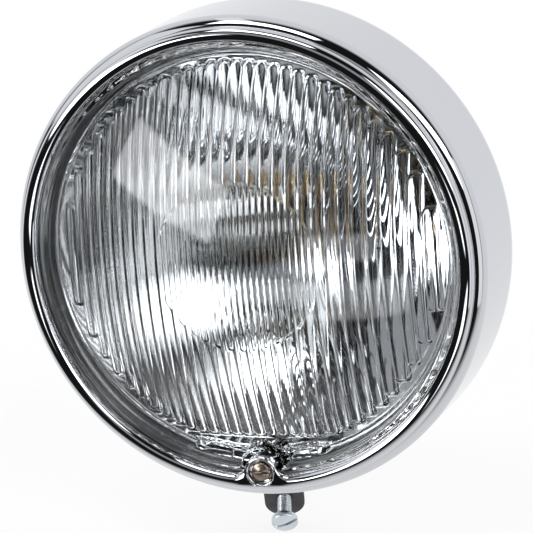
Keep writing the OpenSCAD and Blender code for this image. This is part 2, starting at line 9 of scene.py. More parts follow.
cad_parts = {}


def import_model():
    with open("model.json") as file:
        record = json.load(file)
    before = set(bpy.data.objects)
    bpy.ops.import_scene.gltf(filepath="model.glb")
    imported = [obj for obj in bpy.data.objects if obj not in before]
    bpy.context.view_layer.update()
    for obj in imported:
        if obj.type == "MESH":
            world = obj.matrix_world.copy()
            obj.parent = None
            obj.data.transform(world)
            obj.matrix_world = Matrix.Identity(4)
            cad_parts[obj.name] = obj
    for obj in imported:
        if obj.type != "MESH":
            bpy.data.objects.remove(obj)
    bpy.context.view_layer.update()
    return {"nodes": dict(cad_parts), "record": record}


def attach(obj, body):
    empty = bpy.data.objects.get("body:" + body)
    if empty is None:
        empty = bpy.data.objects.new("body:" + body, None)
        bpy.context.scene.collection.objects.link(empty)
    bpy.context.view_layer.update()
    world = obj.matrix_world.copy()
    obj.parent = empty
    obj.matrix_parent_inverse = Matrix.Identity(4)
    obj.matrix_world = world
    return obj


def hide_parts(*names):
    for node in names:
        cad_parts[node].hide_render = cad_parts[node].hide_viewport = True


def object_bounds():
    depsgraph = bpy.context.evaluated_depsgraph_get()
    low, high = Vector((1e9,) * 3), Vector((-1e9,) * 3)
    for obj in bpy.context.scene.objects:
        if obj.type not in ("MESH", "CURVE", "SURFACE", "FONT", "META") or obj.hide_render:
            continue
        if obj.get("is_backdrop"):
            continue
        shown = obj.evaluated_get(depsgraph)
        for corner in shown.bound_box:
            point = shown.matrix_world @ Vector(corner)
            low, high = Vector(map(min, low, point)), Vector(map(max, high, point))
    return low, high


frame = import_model()
NODES = frame["nodes"]

# Sizes in mm, as in the CAD source. (x, y, h) is x right, y up and h forward along the lamp's axis.
REAR_R, FRONT_R, BARREL_H = 85.8, 85.0, 30.5
SHOULDER_R, WALL = 5.5, 1.0
BEAD_R, BEAD_MID, BEAD_H = 2.7, 79.1, 36.5
SHOULDER_MID = FRONT_R - SHOULDER_R
LIP_R, LIP_H = BEAD_MID - BEAD_R, 35.36
AIM_DROP, LOBE_R, LOBE_FILLET = 74.7, 5.9, 4.0
AIM_TURN = math.radians(1.2)
LOBE_TOP, RECESS_R, RECESS_FLOOR = 38.8, 4.5, 37.0
FLANGE_R, FLANGE_FRONT, FLANGE_BACK = 80.4, 35.26, 31.26
APEX_H, VALLEY_R, VALLEY_H = 48.46, 70.4, 29.86
LENS_T, FIELD_R, CHORD = 4.0, 68.5, 63.5
PITCH, FLUTE_R, FINE_R = 4.3, 3.2, 29.0
FIELD_DEPTH, NOTCH_EDGE = 0.3, 1.2
SEAT_H, BOWL_H, BOWL_R, SKIRT_R, SHEET_T = 29.66, 22.66, 75.5, 76.2, 0.8
FOCAL, VERTEX_H, NECK_R, REFLECTOR_R = 27.0, -30.12, 19.0, 81.5
DENT_R, PILOT_DROP, PILOT_R = 4.9, 38.0, 6.6
DENT_FLOOR = BOWL_H - 13
# The clamp screw stands at this point, in metres, and leans by these angles
CLAMP_AT, CLAMP_TILT, CLAMP_TURN = (-0.002, -0.0064, -0.0959), math.radians(90 + 32), math.radians(17)


def turned(p):
    """Turns x and y, the last axis's first two, about the lamp's axis by the aiming screw's angle."""
    p = np.array(p, float)
    c, s = math.cos(AIM_TURN), math.sin(AIM_TURN)
    p[..., 0], p[..., 1] = p[..., 0] * c - p[..., 1] * s, p[..., 0] * s + p[..., 1] * c
    return p


AIM_C = turned([0.0, -AIM_DROP])


def world(p):
    """Lamp coordinates in mm, as an array of (x, y, h), to Blender's frame in metres."""
    p = np.asarray(p, float)
    return np.stack([p[..., 0], -p[..., 2], p[..., 1]], -1) * 0.001


def make(name, verts, faces, smooth=True, angle=None):
    """A mesh object, with edges sharper than an angle in degrees marked as sharp."""
    me = bpy.data.meshes.new(name)
    me.from_pydata([tuple(v) for v in verts], [], [tuple(f) for f in faces])
    me.validate()
    me.update()
    ob = bpy.data.objects.new(name, me)
    bpy.context.scene.collection.objects.link(ob)
    me.polygons.foreach_set("use_smooth", [smooth] * len(me.polygons))
    if angle:
        sharpen(ob, angle)
    return ob


def sharpen(ob, degrees):
    """Marks the edges that turn by more than an angle as sharp."""
    bm = bmesh.new()
    bm.from_mesh(ob.data)
    for e in bm.edges:
        if len(e.link_faces) == 2:
            e.smooth = e.calc_face_angle(0) < math.radians(degrees)
    bm.to_mesh(ob.data)
    bm.free()


def grid_faces(nu, nv, wrap_u=False, wrap_v=False, flip=False):
    i, j = np.meshgrid(np.arange(nu if wrap_u else nu - 1), np.arange(nv if wrap_v else nv - 1), indexing="ij")
    i, j = i.ravel(), j.ravel()
    i2, j2 = (i + 1) % nu, (j + 1) % nv
    f = np.stack([i * nv + j, i2 * nv + j, i2 * nv + j2, i * nv + j2], -1)
    return f[:, ::-1] if flip else f


def grid(name, p, wrap_u=False, wrap_v=False, flip=False, angle=None):
    """A surface through rows and columns of points, closed in either direction where it wraps."""
    nu, nv = p.shape[:2]
    return make(name, world(p).reshape(-1, 3), grid_faces(nu, nv, wrap_u, wrap_v, flip), True, angle)


def revolve(name, profile, centre=(0, 0), steps=256, wrap=False, flip=False, angle=None):
    """Turns a profile of (r, h) points about an axis along the lamp through centre."""
    a = np.linspace(0, 2 * math.pi, steps, endpoint=False)
    pr = np.asarray(profile, float)
    p = np.empty((steps, len(pr), 3))
    p[..., 0] = centre[0] + np.cos(a)[:, None] * pr[:, 0]
    p[..., 1] = centre[1] + np.sin(a)[:, None] * pr[:, 0]
    p[..., 2] = pr[:, 1]
    return grid(name, p, True, wrap, flip, angle)


def arc(c, r, a0, a1, n):
    """n points of a circle from angle a0 to a1, in degrees."""
    a = np.radians(np.linspace(a0, a1, n))
    return np.stack([c[0] + r * np.cos(a), c[1] + r * np.sin(a)], -1)


def smooth01(x):
    x = np.clip(x, 0, 1)
    return x * x * (3 - 2 * x)


def soft_max(a, b, k):
    """The larger of two heights, blended where they differ by less than k."""
    d = np.clip(0.5 + 0.5 * (a - b) / k, 0, 1)
    return b + (a - b) * d + k * d * (1 - d)


# Outline of the opening: the lip's circle with the lobe round the aiming screw

def outline(n_fillet=40, n_lobe=90, n_circle=560):
    """Points, normals into the metal, and each point's share of the lobe's roll and of the way round."""
    a = LIP_R - LOBE_FILLET
    b = LOBE_R + LOBE_FILLET
    fy = (b * b - a * a - AIM_DROP ** 2) / (2 * AIM_DROP)
    fx = math.sqrt(a * a - fy * fy)
    out_a = math.atan2(fy, fx)
    in_a = math.atan2(fy + AIM_DROP, fx)
    pts, normals, lobe, theta = [], [], [], []
    length_f = LOBE_FILLET * abs(in_a - math.pi - out_a)
    length_l = LOBE_R * (math.pi - 2 * in_a)
    total = 2 * length_f + length_l
    span = out_a - (-math.pi - out_a)
    lead = 0.035
    for k in range(n_fillet):
        f = k / n_fillet
        t = out_a + (in_a - math.pi - out_a) * f
        n = np.array([math.cos(t), math.sin(t)])
        pts.append(np.array([fx, fy]) + LOBE_FILLET * n)
        normals.append(n)
        lobe.append(float(smooth01(0.25 + 0.75 * f)))
        theta.append(out_a - span * (f * length_f / total))
    for k in range(n_lobe):
        f = k / n_lobe
        t = in_a + (math.pi - 2 * in_a) * f
        n = np.array([math.cos(t), math.sin(t)])
        pts.append(np.array([0, -AIM_DROP]) + LOBE_R * n)
        normals.append(-n)
        lobe.append(1.0)
        theta.append(out_a - span * ((length_f + f * length_l) / total))
    for k in range(n_fillet + 1):
        f = 1 - k / n_fillet
        t = out_a + (in_a - math.pi - out_a) * f
        n = np.array([-math.cos(t), math.sin(t)])
        pts.append(np.array([-fx, fy]) + LOBE_FILLET * n)
        normals.append(n)
        lobe.append(float(smooth01(0.25 + 0.75 * f)))
        theta.append(out_a - span * (1 - f * length_f / total))
    end = -math.pi - out_a
    rest = 2 * math.pi - span
    for k in range(1, n_circle):
        f = k / n_circle
        t = end - rest * f
        n = np.array([math.cos(t), math.sin(t)])
        pts.append(LIP_R * n)
        normals.append(n)
        away = min(rest * f, rest * (1 - f))
        lobe.append(float(smooth01(0.25 * max(0.0, 1 - away / (2 * lead)))))
        theta.append(t)
    return turned(pts), turned(normals), np.array(lobe), np.array(theta) + AIM_TURN


OUT_P, OUT_N, OUT_LOBE, OUT_T = outline()


def inside(x, y):
    """Distance from the outline, positive inside the opening, for arrays of x and y."""
    c, sn = math.cos(AIM_TURN), math.sin(AIM_TURN)
    qx, qy = np.abs(x * c + y * sn), y * c - x * sn
    a, b = LIP_R - LOBE_FILLET, LOBE_R + LOBE_FILLET
    fy = (b * b - a * a - AIM_DROP ** 2) / (2 * AIM_DROP)
    fx = math.sqrt(a * a - fy * fy)
    d = np.minimum(LIP_R - np.hypot(qx, qy), np.hypot(qx, qy + AIM_DROP) - LOBE_R)
    # Between the two tangent points the hollow's own circle is the nearest edge
    ux, uy = qx - fx, qy - fy
    past_lip = fx * uy - fy * ux < 0
    past_lobe = fx * uy - (fy + AIM_DROP) * ux < 0
    return np.where(past_lip & past_lobe & (uy < 0), LOBE_FILLET - np.hypot(ux, uy), d)


# Rim

def crossing_angle(c1, r1, c2, r2):
    """Where two circles cross, as an angle in degrees on each of them."""
    v = np.array(c2) - np.array(c1)
    d = np.hypot(*v)
    u = v / d
    a = (r1 * r1 - r2 * r2 + d * d) / (2 * d)
    p = np.array(c1) + a * u + math.sqrt(r1 * r1 - a * a) * np.array([u[1], -u[0]])
    return (math.degrees(math.atan2(p[1] - c1[1], p[0] - c1[0])),
            math.degrees(math.atan2(p[1] - c2[1], p[0] - c2[0])))


def rim():
    s_end, b_start = crossing_angle((SHOULDER_MID, BARREL_H), SHOULDER_R, (BEAD_MID, BEAD_H), BEAD_R)
    outer = np.concatenate([
        [(REAR_R - 0.35, 0.0), (REAR_R - 0.1, 0.08), (REAR_R, 0.35), (REAR_R - 0.05, 2), (REAR_R - 0.2, 8),
         (REAR_R - 0.4, 15), (REAR_R - 0.6, 22.5), (FRONT_R, BARREL_H)],
        arc((SHOULDER_MID, BARREL_H), SHOULDER_R, 0, s_end - 2, 18)[1:],
        arc((BEAD_MID, BEAD_H), BEAD_R, b_start + 4, 75, 12)])
    inner = np.concatenate([
        arc((BEAD_MID, BEAD_H), BEAD_R - WALL, 205, -34, 14),
        arc((SHOULDER_MID, BARREL_H), SHOULDER_R - WALL, 61, 0, 8),
        [(REAR_R - 0.6 - WALL, 22.5), (REAR_R - 0.2 - WALL, 8), (REAR_R - WALL, 0.3), (REAR_R - WALL + 0.2, 0.0)]])
    roll = np.radians(np.concatenate([np.linspace(75, 105, 16)[1:], np.linspace(105, 180, 14)[1:],
                                      np.linspace(180, 205, 5)[1:]]))
    n = len(OUT_P)
    e = np.stack([np.cos(OUT_T), np.sin(OUT_T)], -1)
    rho = BEAD_R + (1.0 - BEAD_R) * OUT_LOBE
    top = BEAD_H + BEAD_R + (LOBE_TOP - BEAD_H - BEAD_R) * OUT_LOBE
    centre = OUT_P + rho[:, None] * OUT_N
    rings = []
    for r, h in outer:
        rings.append(np.concatenate([e * r, np.full((n, 1), h)], -1))
    for k, a in enumerate(roll):
        t = min(1.0, (k + 1) / 15)
        c = e * BEAD_MID * (1 - t) + centre * t
        q = BEAD_R * (1 - t) + rho * t
        nn = e * (1 - t) + OUT_N * t
        nn = nn / np.hypot(nn[:, 0], nn[:, 1])[:, None]
        hh = (BEAD_H + BEAD_R) * (1 - t) + top * t - q
        drop = np.maximum(hh + q * math.sin(a), LIP_H)
        if a > math.pi:
            share = (a - math.pi) / math.radians(25)
            drop = (hh * (1 - share) + LIP_H * share)
        rings.append(np.concatenate([c + (q * math.cos(a))[:, None] * nn, drop[:, None]], -1))
    for r, h in inner:
        rings.append(np.concatenate([e * r, np.full((n, 1), h)], -1))
    p = np.stack(rings, 1)
    d = np.hypot(p[..., 0] - AIM_C[0], p[..., 1] - AIM_C[1])
    dip = smooth01((RECESS_R + 0.6 - d) / 0.5) * (p[..., 2] > 36.2)
    p[..., 2] -= dip * 2.6
    ob = grid("rim_shell", p, True, True, True, 38)
    cut = box_mesh("slot_cutter", (-8.4, -88, 8.1), (8.4, -80, 16.3))
    boolean(ob, cut)
    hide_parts("rim")
    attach(ob, "root")
    eye = np.concatenate([
        [(RECESS_R + 0.9, LOBE_TOP - 0.25), (RECESS_R + 0.8, LOBE_TOP - 0.04)],
        arc((RECESS_R + 0.43, LOBE_TOP - 0.38), 0.43, 62, 180, 9),
        [(RECESS_R, RECESS_FLOOR + 0.5)], arc((RECESS_R - 0.3, RECESS_FLOOR + 0.3), 0.3, 0, -90, 5),
        [(2.4, RECESS_FLOOR), (2.22, RECESS_FLOOR - 0.2), (2.2, RECESS_FLOOR - 1)]])
    ob2 = revolve("rim_eyelet", eye, AIM_C, 96, flip=True, angle=60)
    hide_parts("rim")
    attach(ob2, "root")
    return ob, ob2


def box_mesh(name, lo, hi, turn=False):
    v = [(x, y, h) for x in (lo[0], hi[0]) for y in (lo[1], hi[1]) for h in (lo[2], hi[2])]
    v = turned(v) if turn else v
    f = [(0, 1, 3, 2), (4, 6, 7, 5), (0, 4, 5, 1), (2, 3, 7, 6), (0, 2, 6, 4), (1, 5, 7, 3)]
    return make(name, world(v), f, False)


def cylinder_mesh(name, centre, r, h0, h1, n=64):
    a = np.linspace(0, 2 * math.pi, n, endpoint=False)
    v = [(centre[0] + r * math.cos(t), centre[1] + r * math.sin(t), h) for h in (h0, h1) for t in a]
    f = [(i, (i + 1) % n, n + (i + 1) % n, n + i) for i in range(n)]
    f += [tuple(reversed(range(n))), tuple(range(n, 2 * n))]
    return make(name, world(v), f, False)


def boolean(ob, cutter):
    """Cuts another mesh out of ob, applies the result and removes the cutter."""
    for o in (cutter, ob):
        bm = bmesh.new()
        bm.from_mesh(o.data)
        bmesh.ops.recalc_face_normals(bm, faces=bm.faces)
        bm.to_mesh(o.data)
        bm.free()
    m = ob.modifiers.new("cut", "BOOLEAN")
    m.operation = "DIFFERENCE"
    m.solver = "EXACT"
    m.object = cutter
    bpy.context.view_layer.update()
    done = bpy.data.meshes.new_from_object(ob.evaluated_get(bpy.context.evaluated_depsgraph_get()))
    ob.modifiers.remove(m)
    ob.data = done
    bpy.data.objects.remove(cutter)


# Lens

DOME_OUT_R = (VALLEY_R ** 2 + (APEX_H - VALLEY_H) ** 2) / (2 * (APEX_H - VALLEY_H))
IN_APEX, IN_EDGE = APEX_H - LENS_T, VALLEY_H - LENS_T
DOME_IN_R = (FIELD_R ** 2 + (IN_APEX - IN_EDGE) ** 2) / (2 * (IN_APEX - IN_EDGE))
DOME_IN_C = IN_APEX - DOME_IN_R
RIB_H = FLUTE_R - math.sqrt(FLUTE_R ** 2 - PITCH ** 2 / 4)
INNER_R, DOME_END, FIELD_HALF = 71.6, 69, 15.6 * PITCH
# The front of the glass by distance from the rim's opening: flange, wall and sunk border
WALL_D = [1.5, 1.75, 2.1, 2.45, 2.75, 3.1, 3.5, 3.9, 4.4, 5.2, 6.2]
WALL_TOP = [FLANGE_FRONT, 35.22, 35.0, 34.55, 33.85, 32.4, 30.8, 29.85, 29.4, 29.26, 29.26]
# The back of the glass by radius, from the fluted face outwards
BACK_R = [INNER_R, 73.6, 76.8, FLANGE_R]
BACK_H = [25.1, 26.3, FLANGE_BACK, FLANGE_BACK]
# The raised floor above the lobe, and the pocket at each side of it
STEP_TOP, STEP_HALF, STEP_Y = 31.5, 27, -64.3
POCKET_X, POCKET_Y, POCKET_TILT = 15.6, -68.9, 0.12
POCKET_HALF_L, POCKET_HALF_W, POCKET_DEPTH = 5.3, 2.0, 1.7


def top_h(x, y):
    """Height of the glass's front face."""
    r = np.hypot(x, y)
    dome = APEX_H - DOME_OUT_R + np.sqrt(np.maximum(DOME_OUT_R ** 2 - r * r, 0))
    d = inside(x, y)
    wall = np.interp(d, WALL_D, WALL_TOP)
    h = soft_max(dome, wall, 0.5)
    step = STEP_TOP * smooth01((STEP_HALF - np.abs(x)) / 3) * smooth01((STEP_Y - y) / 1.4)
    h = soft_max(h, step, 0.4)
    c, sn = math.cos(POCKET_TILT), math.sin(POCKET_TILT)
    for side in (-1, 1):
        px, py = x * side - POCKET_X, y - POCKET_Y
        u, v = px * c + py * sn, py * c - px * sn
        pocket = smooth01((POCKET_HALF_L - np.abs(u)) / 0.9) * smooth01((POCKET_HALF_W - np.abs(v)) / 0.8)
        h = h - pocket * POCKET_DEPTH * (d > 2.6)
    return h


def flute_drop(u, pitch, r):
    """Height of a flute's round section above its edges, u from its middle."""
    return np.sqrt(r * r - u * u) - math.sqrt(r * r - pitch * pitch / 4)


def bottom_h(x, y):
    """Height of the glass's inner face, with its flutes."""
    r2 = x * x + y * y
    base = DOME_IN_C + np.sqrt((DOME_IN_R - RIB_H - FIELD_DEPTH) ** 2 - np.minimum(r2, 5500))
    i = np.round(x / PITCH)
    u = x - i * PITCH
    rho = np.sqrt(DOME_IN_R ** 2 - x * x) - flute_drop(u, PITCH, FLUTE_R)
    coarse = DOME_IN_C + np.sqrt(rho ** 2 - y * y)
    k = np.round(x / (PITCH / 2) - 0.5) + 0.5
    w = x - k * PITCH / 2
    rho_f = np.sqrt(DOME_IN_R ** 2 - x * x) - flute_drop(w, PITCH / 2, FLUTE_R / 2)
    fine = DOME_IN_C + np.sqrt(rho_f ** 2 - y * y)
    xe = (np.abs(i) + 0.35) * PITCH
    end = np.sqrt(np.maximum(FIELD_R ** 2 - xe ** 2, 0))
    round_off = 1.5 * (1 - np.sqrt(np.clip(1 - (u / (PITCH / 2)) ** 2, 0, 1)))
    up = smooth01((end - round_off - y) / 1.1)
    down = smooth01((np.minimum(end, CHORD) - round_off * 0.6 + y) / 1.1)
    inner = smooth01((FINE_R - np.sqrt(r2)) / 0.7 + 0.5)
    flutes = coarse * (1 - inner) + fine * inner
    return base + (flutes - base) * up * down * (np.abs(x) < FIELD_HALF)


def lens():
    # More columns near the lobe, half of them within this angle of it
    spread = 0.22
    t = np.concatenate([np.linspace(-math.pi / 2 - spread, -math.pi / 2 + spread, 230, endpoint=False),
                        np.linspace(-math.pi / 2 + spread, 1.5 * math.pi - spread, 420, endpoint=False)]) + AIM_TURN
    # The edge of the glass: the flange's, and the notch round the lobe
    notch_r = LOBE_R - NOTCH_EDGE
    half = math.asin(notch_r / AIM_DROP)
    off = t + math.pi / 2 - AIM_TURN
    near = np.clip(off, -half, half)
    notch = AIM_DROP * np.cos(near) - np.sqrt(np.maximum(notch_r ** 2 - (AIM_DROP * np.sin(near)) ** 2, 0))
    edge = np.where(np.abs(off) < half, notch, FLANGE_R)
    e = np.stack([np.cos(t), np.sin(t)], -1)

    def ring(r, h=None):
        """Points at radius r, which may vary round the lamp, on the front face or at height h."""
        xy = e * np.broadcast_to(r, len(e))[:, None]
        h = top_h(xy[:, 0], xy[:, 1]) if h is None else h
        return np.concatenate([xy, h[:, None]], -1)

    rings = [ring(r) for r in np.concatenate([np.linspace(0.5, 62, 30), np.linspace(63, DOME_END, 13)])]
    rings += [ring(DOME_END + (edge - DOME_END) * k) for k in np.linspace(0, 1, 46)[1:]]
    rings.append(ring(edge, np.interp(np.minimum(edge, FLANGE_R), BACK_R, BACK_H) + 0.15))
    for k in np.linspace(0, 1, 14):
        r = edge + (INNER_R - edge) * k
        rings.append(ring(r, np.interp(r, BACK_R, BACK_H)))
    p = np.stack(rings, 1)
    verts = world(p).reshape(-1, 3)
    nu, nv = p.shape[:2]
    faces = [tuple(f) for f in grid_faces(nu, nv, True, False, True)]
    verts = np.concatenate([verts, world([(0, 0, APEX_H)])])
    top = nu * nv
    faces += [(((i + 1) % nu) * nv, i * nv, top) for i in range(nu)]
    shell = make("lens_shell", verts, faces, True, 50)
    # The inner face, on a grid that follows the flutes
    dx = PITCH / 12
    dy = 0.56
    xs = np.arange(-math.ceil(INNER_R / dx), math.ceil(INNER_R / dx) + 1) * dx
    ys = np.arange(-math.ceil(INNER_R / dy), math.ceil(INNER_R / dy) + 1) * dy
    gx, gy = np.meshgrid(xs, ys, indexing="ij")
    gx, gy = gx.copy(), gy.copy()
    cx = (gx[:-1, :-1] + gx[1:, 1:]) / 2
    cy = (gy[:-1, :-1] + gy[1:, 1:]) / 2
    keep = np.hypot(cx, cy) < INNER_R - 0.2
    used = np.zeros(gx.shape, bool)
    full = np.zeros(gx.shape, int)
    for a in (0, 1):
        for b in (0, 1):
            used[a:a + keep.shape[0], b:b + keep.shape[1]] |= keep
            full[a:a + keep.shape[0], b:b + keep.shape[1]] += keep
    border = used & (full < 4)
    r = np.hypot(gx, gy)
    gx[border] *= INNER_R / r[border]
    gy[border] *= INNER_R / r[border]
    h = bottom_h(gx, gy)
    h[border] = BACK_H[0]
    index = -np.ones(gx.shape, int)
    index[used] = np.arange(used.sum())
    verts = world(np.stack([gx[used], gy[used], h[used]], -1))
    i, j = np.where(keep)
    faces = np.stack([index[i, j], index[i, j + 1], index[i + 1, j + 1], index[i + 1, j]], -1)
    flutes = make("lens_flutes", verts, faces, True)
    for ob in (shell, flutes):
        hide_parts("lens")
        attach(ob, "root")
    return shell, flutes


# Reflector and bulb

def mirror_h(r):
    return VERTEX_H + r * r / (4 * FOCAL)


def reflector():
    rs = np.linspace(BOWL_R, NECK_R, 90)
    front = [(r, mirror_h(r)) for r in rs]
    back = [(r, mirror_h(r) - SHEET_T * 1.2) for r in np.linspace(NECK_R + SHEET_T, BOWL_R, 60)]
    neck = VERTEX_H - 0.4
    flange = NECK_R + 5.8
    profile = ([(REFLECTOR_R, SEAT_H), (SKIRT_R + 0.3, SEAT_H), (SKIRT_R, SEAT_H - 0.3), (SKIRT_R, BOWL_H + 0.3),
                (SKIRT_R - 0.25, BOWL_H)] + front +
               [(NECK_R, neck), (flange, neck), (flange, neck + SHEET_T), (NECK_R + SHEET_T, neck + SHEET_T)] + back +
               [(SKIRT_R + SHEET_T, BOWL_H - SHEET_T), (SKIRT_R + SHEET_T, SEAT_H - SHEET_T),
                (REFLECTOR_R, SEAT_H - SHEET_T)])
    ob = revolve("reflector_bowl", profile, steps=256, wrap=True, flip=True, angle=35)
    for c, r, h0 in (((0, -PILOT_DROP), PILOT_R, -26), (AIM_C, DENT_R, DENT_FLOOR)):
        boolean(ob, cylinder_mesh("cutter", c, r, h0, 60))
    boolean(ob, box_mesh("cutter", (-DENT_R, -REFLECTOR_R - 1, DENT_FLOOR), (DENT_R, -AIM_DROP, 60), True))
    sharpen(ob, 35)
    # The dent's wall inside the bowl
    a = np.linspace(-0.2, math.pi + 0.2, 40)
    x = AIM_C[0] + (DENT_R + SHEET_T) * np.cos(a + AIM_TURN)
    y = AIM_C[1] + (DENT_R + SHEET_T) * np.sin(a + AIM_TURN)
    low = np.maximum(mirror_h(np.hypot(x, y)) - 0.3, 8)
    p = np.stack([np.stack([x, y, np.minimum(low + (SEAT_H - low) * t, SEAT_H)], -1) for t in np.linspace(0, 1, 8)], 1)
    dent = grid("reflector_dent", p)
    for o in (ob, dent):
        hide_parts("reflector")
        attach(o, "root")
    return ob, dent


def bulb_glass():
    ball_r, stem_r, glass = 18.0, 11.0, 0.9
    ball_h = VERTEX_H + FOCAL - 2.2
    stem_h = VERTEX_H - 0.5 + 5 - 4
    turn = math.degrees(math.asin(stem_r / ball_r))
    turn_in = math.degrees(math.asin((stem_r - glass) / (ball_r - glass)))
    profile = np.concatenate([arc((0, ball_h), ball_r, 89.5, turn - 90, 60),
                              [(stem_r + 0.1, ball_h - ball_r + 0.8), (stem_r, stem_h), (stem_r - glass, stem_h)],
                              arc((0, ball_h), ball_r - glass, turn_in - 90, 89.5, 60)])
    profile[3:60][:, 0] = np.maximum(profile[3:60][:, 0], 0)
    ob = revolve("bulb_globe", profile, steps=128, wrap=False, flip=True)
    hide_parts("bulb_glass")
    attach(ob, "root")
    return ob


# Screws and bracket

def soften(ob, width, degrees=40, segments=2):
    """Rounds the edges that turn by more than an angle, and applies the result."""
    m = ob.modifiers.new("soft", "BEVEL")
    m.width = width * 0.001
    m.segments = segments
    m.limit_method = "ANGLE"
    m.angle_limit = math.radians(degrees)
    bpy.context.view_layer.update()
    done = bpy.data.meshes.new_from_object(ob.evaluated_get(bpy.context.evaluated_depsgraph_get()))
    ob.modifiers.remove(m)
    ob.data = done
    sharpen(ob, degrees)


def clamp_matrix():
    """From the lamp's frame at the origin to the clamp screw's, whose third direction points out of the head."""
    m = Matrix.Translation(CLAMP_AT) @ Matrix.Rotation(CLAMP_TURN, 4, "Z") @ Matrix.Rotation(CLAMP_TILT, 4, "X")
    return m @ Matrix(((1, 0, 0, 0), (0, 0, 1, 0), (0, -1, 0, 0), (0, 0, 0, 1)))


def thread(name, r, pitch, depth, h0, h1, centre=(0, 0), steps=48, per=10):
    """A threaded shank from h0 to h1, with its lower end chamfered."""
    n = int((h1 - h0) / pitch * per)
    h = np.linspace(h0, h1, n + 1)
    a = np.linspace(0, 2 * math.pi, steps, endpoint=False)
    phase = (h[None, :] / pitch - a[:, None] / (2 * math.pi)) % 1
    crest = np.clip((1 - np.abs(2 * phase - 1)) * 1.3, 0, 1)
    rad = np.minimum(r - depth * (1 - crest), r - 0.7 + (h[None, :] - h0))
    rad = np.concatenate([np.full((steps, 1), 0.01), rad, np.full((steps, 1), 0.01)], 1)
    h = np.concatenate([[h0], h, [h1]])
    p = np.stack([centre[0] + rad * np.cos(a)[:, None], centre[1] + rad * np.sin(a)[:, None],
                  np.broadcast_to(h, rad.shape)], -1)
    return grid(name, p, True, False, False, 50)


def slotted_head(name, r, h, thick, edge, dome, slot_w, slot_d, turn, centre=(0, 0), inner=0.0):
    """A screw head that stands on h, its slot's direction turned from x."""
    big = ((r - edge) ** 2 + dome ** 2) / (2 * dome)
    a = math.degrees(math.asin((r - edge * 0.6) / big))
    crown = arc((0, h + thick - big), big, 90 - a, 89.8, 16)
    profile = np.concatenate([[(inner + 0.01, h), (r - 0.15, h), (r, h + 0.15)],
                              arc((r - edge * 0.6, crown[0][1] - edge * 0.55), edge * 0.6, 0, 80, 7), crown[1:]])
    ob = revolve(name, profile, centre, 96)
    close = bpy.data.meshes.new(name)
    verts = [v.co.copy() for v in ob.data.vertices]
    faces = [tuple(f.vertices) for f in ob.data.polygons]
    m = len(profile)
    faces += [tuple(range(0, 96 * m, m)), tuple(reversed(range(m - 1, 96 * m, m)))]
    close.from_pydata(verts, [], faces)
    ob.data = close
    c, sn = math.cos(turn), math.sin(turn)
    lo, hi = h + thick - slot_d - dome * 0.3, h + thick + 3
    v = [(centre[0] + x * c - y * sn, centre[1] + x * sn + y * c, z)
         for x in (-r - 1, r + 1) for y in (-slot_w / 2, slot_w / 2) for z in (lo, hi)]
    f = [(0, 1, 3, 2), (4, 6, 7, 5), (0, 4, 5, 1), (2, 3, 7, 6), (0, 2, 6, 4), (1, 5, 7, 3)]
    boolean(ob, make("cutter", world(v), f, False))
    ob.data.polygons.foreach_set("use_smooth", [True] * len(ob.data.polygons))
    soften(ob, 0.09, 35, 2)
    return ob


def screws():
    head = slotted_head("clamp_head", 4.75, 9.0, 3.0, 1.3, 0.55, 1.2, 1.15, math.radians(24))
    shank = thread("clamp_thread", 2.5, 0.8, 0.42, -15.0, 9.2)
    for ob in (head, shank):
        ob.data.transform(clamp_matrix())
        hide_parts("clamp_screw")
        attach(ob, "root")
    aim = slotted_head("aim_head", 3.4, RECESS_FLOOR + 0.05, 2.1, 0.9, 0.5, 0.95, 1.0, AIM_TURN, AIM_C)
    shank2 = thread("aim_thread", 2.0, 0.7, 0.35, 9.0, RECESS_FLOOR + 0.3, AIM_C)
    for ob in (aim, shank2):
        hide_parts("aim_screw")
        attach(ob, "root")
    return (head, shank), (aim, shank2)


def bracket():
    """The clamp bracket: a tongue with a round end, cut off level inside the rim, and a leg behind the slot."""
    w, t, end, length, hole = 14.4, 2.2, 2.3, 17.0, 2.7
    a = np.linspace(math.pi, 2 * math.pi, 41)
    loop = [(w / 2, length), (-w / 2, length)] + [(w / 2 * math.cos(q), -end + w / 2 * math.sin(q)) for q in a]
    n = len(loop)
    v = [(x, y, z) for z in (-t, 0) for x, y in loop]
    f = [tuple(reversed(range(n))), tuple(range(n, 2 * n))]
    f += [(i, (i + 1) % n, n + (i + 1) % n, n + i) for i in range(n)]
    ob = make("bracket_tongue", world(v), f, False)
    boolean(ob, cylinder_mesh("cutter", (0, 0), hole, -9, 9))
    ob.data.transform(clamp_matrix())
    boolean(ob, box_mesh("cutter", (-60, -80.8, -60), (60, 60, 90)))
    leg = box_mesh("bracket_leg", (-w / 2, -83.0, 8.95), (w / 2, -80.8, 16.3))
    for o in (ob, leg):
        soften(o, 0.25, 50, 3)
        for q in o.data.polygons:
            q.use_smooth = True
        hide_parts("clamp_bracket")
        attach(o, "root")
    return ob, leg


# Materials

